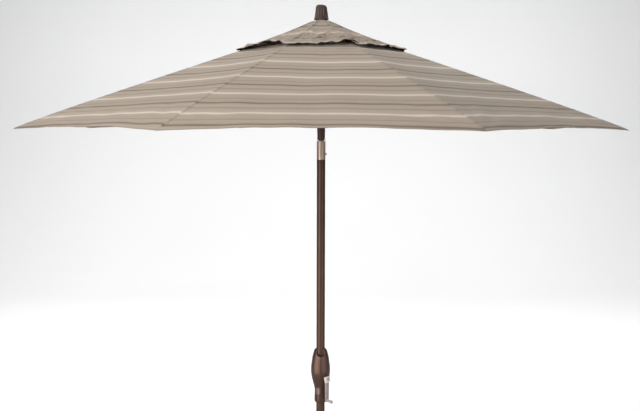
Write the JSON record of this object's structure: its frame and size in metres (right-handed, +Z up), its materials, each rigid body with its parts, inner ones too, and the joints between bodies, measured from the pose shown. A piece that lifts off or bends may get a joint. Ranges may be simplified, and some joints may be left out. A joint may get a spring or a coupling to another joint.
{
  "type": "market umbrella",
  "caption": "Crank-lift, push-button-tilt patio umbrella with a striped octagonal vented canopy on a metal pole.",
  "frame": {"origin": "pole axis at the foot of the pole, where a base or table socket takes it", "axes": "+Z up the pole, -Y front, +X right; the crank points forward and to the right, the canopy tilts towards -X"},
  "size_m": [2.3826, 2.3826, 2.5358],
  "materials": {
    "pole_bronze": "satin bronze powder coat",
    "housing_bronze": "gloss bronze paint on die casting",
    "champagne_metal": "brushed champagne anodising",
    "rib_bronze": "satin bronze powder coat",
    "steel": "plated",
    "dark_plastic": "satin moulded resin",
    "grey_plastic": "satin moulded resin",
    "cord": "braided",
    "canopy_fabric": "woven awning cloth, striped"
  },
  "bodies": {
    "base": {"lower_pole": "pole_bronze", "foot_plug": "dark_plastic", "pole_joiner": "pole_bronze", "main_pole": "pole_bronze", "housing_front": "housing_bronze", "housing_rear": "housing_bronze", "housing_screws": "steel", "lift_cord_lower": "cord", "tilt_sleeve": "champagne_metal", "tilt_tongue": "dark_plastic", "tilt_pin": "steel", "button_spring": "steel", "snap_spring": "steel"},
    "crank": {"crank_spool": "dark_plastic", "crank_arm": "grey_plastic"},
    "knob": {"crank_knob": "grey_plastic"},
    "tilt_push": {"tilt_button": "grey_plastic"},
    "snap_push": {"snap_button": "steel"},
    "upper": {"tilt_head": "dark_plastic", "upper_pole": "pole_bronze", "top_hub": "dark_plastic", "hub_pins": "steel", "finial": "dark_plastic", "crown_cap": "canopy_fabric", "lift_cord_upper": "cord"},
    "pulley": {"cord_pulley": "dark_plastic"},
    "slider": {"runner": "dark_plastic", "runner_pins": "steel"},
    "rib1": {"rib_1": "rib_bronze"},
    "strut1": {"strut_1": "rib_bronze"},
    "panel1l": {"canopy_1_left": "canopy_fabric"},
    "panel1r": {"canopy_1_right": "canopy_fabric"},
    "rib2": {"rib_2": "rib_bronze"},
    "strut2": {"strut_2": "rib_bronze"},
    "panel2l": {"canopy_2_left": "canopy_fabric"},
    "panel2r": {"canopy_2_right": "canopy_fabric"},
    "rib3": {"rib_3": "rib_bronze"},
    "strut3": {"strut_3": "rib_bronze"},
    "panel3l": {"canopy_3_left": "canopy_fabric"},
    "panel3r": {"canopy_3_right": "canopy_fabric"},
    "rib4": {"rib_4": "rib_bronze"},
    "strut4": {"strut_4": "rib_bronze"},
    "panel4l": {"canopy_4_left": "canopy_fabric"},
    "panel4r": {"canopy_4_right": "canopy_fabric"},
    "rib5": {"rib_5": "rib_bronze"},
    "strut5": {"strut_5": "rib_bronze"},
    "panel5l": {"canopy_5_left": "canopy_fabric"},
    "panel5r": {"canopy_5_right": "canopy_fabric"},
    "rib6": {"rib_6": "rib_bronze"},
    "strut6": {"strut_6": "rib_bronze"},
    "panel6l": {"canopy_6_left": "canopy_fabric"},
    "panel6r": {"canopy_6_right": "canopy_fabric"},
    "rib7": {"rib_7": "rib_bronze"},
    "strut7": {"strut_7": "rib_bronze"},
    "panel7l": {"canopy_7_left": "canopy_fabric"},
    "panel7r": {"canopy_7_right": "canopy_fabric"},
    "rib8": {"rib_8": "rib_bronze"},
    "strut8": {"strut_8": "rib_bronze"},
    "panel8l": {"canopy_8_left": "canopy_fabric"},
    "panel8r": {"canopy_8_right": "canopy_fabric"}
  },
  "joints": [
    {"name": "tilt", "type": "hinge", "parent": "base", "child": "upper", "pos_m": [0, 0, 1.945], "axis": [0, 1, 0], "range_deg": [-35, 0], "deforming": ["lift_cord_upper"]},
    {"name": "rib_1_fold", "type": "hinge", "parent": "upper", "child": "rib1", "pos_m": [0.03511, 0.01454, 2.42072], "axis": [-0.3827, 0.9239, 0], "range_deg": [0, 65], "deforming": ["lift_cord_upper", "canopy_1_left", "canopy_1_right", "canopy_2_left", "canopy_2_right", "canopy_3_left", "canopy_3_right", "canopy_4_left", "canopy_4_right", "canopy_5_left", "canopy_5_right", "canopy_6_left", "canopy_6_right", "canopy_7_left", "canopy_7_right", "canopy_8_left", "canopy_8_right"]},
    {"name": "strut_1_fold", "type": "hinge", "parent": "rib1", "child": "strut1", "pos_m": [0.49766, 0.20614, 2.21758], "axis": [-0.3827, 0.9239, 0], "range_deg": [-130, 0]},
    {"name": "panel_1_left_fold", "type": "hinge", "parent": "rib1", "child": "panel1l", "pos_m": [0.17195, 0.08406, 2.388], "axis": [0.8687, 0.3457, -0.3548], "range_deg": [0, 58]},
    {"name": "panel_1_right_fold", "type": "hinge", "parent": "rib1", "child": "panel1r", "pos_m": [0.18102, 0.06215, 2.388], "axis": [-0.8587, -0.3699, 0.3548], "range_deg": [0, 58]},
    {"name": "runner_slide", "type": "hinge", "parent": "strut1", "child": "slider", "pos_m": [0.03511, 0.01454, 2.01444], "axis": [-0.3827, 0.9239, 0], "range_deg": [0, 65]},
    {"name": "rib_2_fold", "type": "hinge", "parent": "upper", "child": "rib2", "pos_m": [0.01454, 0.03511, 2.42072], "axis": [-0.9239, 0.3827, 0], "range_deg": [0, 65]},
    {"name": "strut_2_fold", "type": "hinge", "parent": "rib2", "child": "strut2", "pos_m": [0.20614, 0.49766, 2.21758], "axis": [-0.9239, 0.3827, 0], "range_deg": [-130, 0]},
    {"name": "panel_2_left_fold", "type": "hinge", "parent": "rib2", "child": "panel2l", "pos_m": [0.06215, 0.18102, 2.388], "axis": [0.3699, 0.8587, -0.3548], "range_deg": [0, 58]},
    {"name": "panel_2_right_fold", "type": "hinge", "parent": "rib2", "child": "panel2r", "pos_m": [0.08406, 0.17195, 2.388], "axis": [-0.3457, -0.8687, 0.3548], "range_deg": [0, 58]},
    {"name": "rib_3_fold", "type": "hinge", "parent": "upper", "child": "rib3", "pos_m": [-0.01454, 0.03511, 2.42072], "axis": [-0.9239, -0.3827, 0], "range_deg": [0, 65]},
    {"name": "strut_3_fold", "type": "hinge", "parent": "rib3", "child": "strut3", "pos_m": [-0.20614, 0.49766, 2.21758], "axis": [-0.9239, -0.3827, 0], "range_deg": [-130, 0]},
    {"name": "panel_3_left_fold", "type": "hinge", "parent": "rib3", "child": "panel3l", "pos_m": [-0.08406, 0.17195, 2.388], "axis": [-0.3457, 0.8687, -0.3548], "range_deg": [0, 58]},
    {"name": "panel_3_right_fold", "type": "hinge", "parent": "rib3", "child": "panel3r", "pos_m": [-0.06215, 0.18102, 2.388], "axis": [0.3699, -0.8587, 0.3548], "range_deg": [0, 58]},
    {"name": "rib_4_fold", "type": "hinge", "parent": "upper", "child": "rib4", "pos_m": [-0.03511, 0.01454, 2.42072], "axis": [-0.3827, -0.9239, 0], "range_deg": [0, 65]},
    {"name": "strut_4_fold", "type": "hinge", "parent": "rib4", "child": "strut4", "pos_m": [-0.49766, 0.20614, 2.21758], "axis": [-0.3827, -0.9239, 0], "range_deg": [-130, 0]},
    {"name": "panel_4_left_fold", "type": "hinge", "parent": "rib4", "child": "panel4l", "pos_m": [-0.18102, 0.06215, 2.388], "axis": [-0.8587, 0.3699, -0.3548], "range_deg": [0, 58]},
    {"name": "panel_4_right_fold", "type": "hinge", "parent": "rib4", "child": "panel4r", "pos_m": [-0.17195, 0.08406, 2.388], "axis": [0.8687, -0.3457, 0.3548], "range_deg": [0, 58]},
    {"name": "rib_5_fold", "type": "hinge", "parent": "upper", "child": "rib5", "pos_m": [-0.03511, -0.01454, 2.42072], "axis": [0.3827, -0.9239, 0], "range_deg": [0, 65]},
    {"name": "strut_5_fold", "type": "hinge", "parent": "rib5", "child": "strut5", "pos_m": [-0.49766, -0.20614, 2.21758], "axis": [0.3827, -0.9239, 0], "range_deg": [-130, 0]},
    {"name": "panel_5_left_fold", "type": "hinge", "parent": "rib5", "child": "panel5l", "pos_m": [-0.17195, -0.08406, 2.388], "axis": [-0.8687, -0.3457, -0.3548], "range_deg": [0, 58]},
    {"name": "panel_5_right_fold", "type": "hinge", "parent": "rib5", "child": "panel5r", "pos_m": [-0.18102, -0.06215, 2.388], "axis": [0.8587, 0.3699, 0.3548], "range_deg": [0, 58]},
    {"name": "rib_6_fold", "type": "hinge", "parent": "upper", "child": "rib6", "pos_m": [-0.01454, -0.03511, 2.42072], "axis": [0.9239, -0.3827, 0], "range_deg": [0, 65]},
    {"name": "strut_6_fold", "type": "hinge", "parent": "rib6", "child": "strut6", "pos_m": [-0.20614, -0.49766, 2.21758], "axis": [0.9239, -0.3827, 0], "range_deg": [-130, 0]},
    {"name": "panel_6_left_fold", "type": "hinge", "parent": "rib6", "child": "panel6l", "pos_m": [-0.06215, -0.18102, 2.388], "axis": [-0.3699, -0.8587, -0.3548], "range_deg": [0, 58]},
    {"name": "panel_6_right_fold", "type": "hinge", "parent": "rib6", "child": "panel6r", "pos_m": [-0.08406, -0.17195, 2.388], "axis": [0.3457, 0.8687, 0.3548], "range_deg": [0, 58]},
    {"name": "rib_7_fold", "type": "hinge", "parent": "upper", "child": "rib7", "pos_m": [0.01454, -0.03511, 2.42072], "axis": [0.9239, 0.3827, 0], "range_deg": [0, 65]},
    {"name": "strut_7_fold", "type": "hinge", "parent": "rib7", "child": "strut7", "pos_m": [0.20614, -0.49766, 2.21758], "axis": [0.9239, 0.3827, 0], "range_deg": [-130, 0]},
    {"name": "panel_7_left_fold", "type": "hinge", "parent": "rib7", "child": "panel7l", "pos_m": [0.08406, -0.17195, 2.388], "axis": [0.3457, -0.8687, -0.3548], "range_deg": [0, 58]},
    {"name": "panel_7_right_fold", "type": "hinge", "parent": "rib7", "child": "panel7r", "pos_m": [0.06215, -0.18102, 2.388], "axis": [-0.3699, 0.8587, 0.3548], "range_deg": [0, 58]},
    {"name": "rib_8_fold", "type": "hinge", "parent": "upper", "child": "rib8", "pos_m": [0.03511, -0.01454, 2.42072], "axis": [0.3827, 0.9239, 0], "range_deg": [0, 65]},
    {"name": "strut_8_fold", "type": "hinge", "parent": "rib8", "child": "strut8", "pos_m": [0.49766, -0.20614, 2.21758], "axis": [0.3827, 0.9239, 0], "range_deg": [-130, 0]},
    {"name": "panel_8_left_fold", "type": "hinge", "parent": "rib8", "child": "panel8l", "pos_m": [0.18102, -0.06215, 2.388], "axis": [0.8587, -0.3699, -0.3548], "range_deg": [0, 58]},
    {"name": "panel_8_right_fold", "type": "hinge", "parent": "rib8", "child": "panel8r", "pos_m": [0.17195, -0.08406, 2.388], "axis": [-0.8687, 0.3457, 0.3548], "range_deg": [0, 58]},
    {"name": "crank_spin", "type": "hinge", "parent": "base", "child": "crank", "pos_m": [0, 0, 0.856], "axis": [0.6157, -0.788, 0], "range_deg": [0, 3120]},
    {"name": "pulley_spin", "type": "hinge", "parent": "upper", "child": "pulley", "pos_m": [0, 0.0125, 2.414], "axis": [1, 0, 0], "range_deg": [0, 3510]},
    {"name": "knob_spin", "type": "hinge", "parent": "crank", "child": "knob", "pos_m": [0.04063, -0.05201, 0.762], "axis": [0.6157, -0.788, 0], "continuous": true},
    {"name": "tilt_button_push", "type": "slide", "parent": "base", "child": "tilt_push", "axis": [-1, 0, 0], "range_m": [0, 0.004], "stiffness_N_per_m": 600, "deforming": ["button_spring"]},
    {"name": "snap_button_push", "type": "slide", "parent": "base", "child": "snap_push", "axis": [0, -1, 0], "range_m": [0, 0.004], "stiffness_N_per_m": 600, "deforming": ["snap_spring"]}
  ],
  "couplings": [
    {"joint": "strut_1_fold", "follows": "rib_1_fold", "ratio": -2},
    {"joint": "panel_1_left_fold", "follows": "rib_1_fold", "ratio": 0.88283},
    {"joint": "panel_1_right_fold", "follows": "rib_1_fold", "ratio": 0.88283},
    {"joint": "runner_slide", "follows": "rib_1_fold", "ratio": 1},
    {"joint": "rib_2_fold", "follows": "rib_1_fold", "ratio": 1},
    {"joint": "strut_2_fold", "follows": "rib_1_fold", "ratio": -2},
    {"joint": "panel_2_left_fold", "follows": "rib_1_fold", "ratio": 0.88283},
    {"joint": "panel_2_right_fold", "follows": "rib_1_fold", "ratio": 0.88283},
    {"joint": "rib_3_fold", "follows": "rib_1_fold", "ratio": 1},
    {"joint": "strut_3_fold", "follows": "rib_1_fold", "ratio": -2},
    {"joint": "panel_3_left_fold", "follows": "rib_1_fold", "ratio": 0.88283},
    {"joint": "panel_3_right_fold", "follows": "rib_1_fold", "ratio": 0.88283},
    {"joint": "rib_4_fold", "follows": "rib_1_fold", "ratio": 1},
    {"joint": "strut_4_fold", "follows": "rib_1_fold", "ratio": -2},
    {"joint": "panel_4_left_fold", "follows": "rib_1_fold", "ratio": 0.88283},
    {"joint": "panel_4_right_fold", "follows": "rib_1_fold", "ratio": 0.88283},
    {"joint": "rib_5_fold", "follows": "rib_1_fold", "ratio": 1},
    {"joint": "strut_5_fold", "follows": "rib_1_fold", "ratio": -2},
    {"joint": "panel_5_left_fold", "follows": "rib_1_fold", "ratio": 0.88283},
    {"joint": "panel_5_right_fold", "follows": "rib_1_fold", "ratio": 0.88283},
    {"joint": "rib_6_fold", "follows": "rib_1_fold", "ratio": 1},
    {"joint": "strut_6_fold", "follows": "rib_1_fold", "ratio": -2},
    {"joint": "panel_6_left_fold", "follows": "rib_1_fold", "ratio": 0.88283},
    {"joint": "panel_6_right_fold", "follows": "rib_1_fold", "ratio": 0.88283},
    {"joint": "rib_7_fold", "follows": "rib_1_fold", "ratio": 1},
    {"joint": "strut_7_fold", "follows": "rib_1_fold", "ratio": -2},
    {"joint": "panel_7_left_fold", "follows": "rib_1_fold", "ratio": 0.88283},
    {"joint": "panel_7_right_fold", "follows": "rib_1_fold", "ratio": 0.88283},
    {"joint": "rib_8_fold", "follows": "rib_1_fold", "ratio": 1},
    {"joint": "strut_8_fold", "follows": "rib_1_fold", "ratio": -2},
    {"joint": "panel_8_left_fold", "follows": "rib_1_fold", "ratio": 0.88283},
    {"joint": "panel_8_right_fold", "follows": "rib_1_fold", "ratio": 0.88283},
    {"joint": "crank_spin", "follows": "rib_1_fold", "ratio": 48},
    {"joint": "pulley_spin", "follows": "rib_1_fold", "ratio": 54}
  ]
}
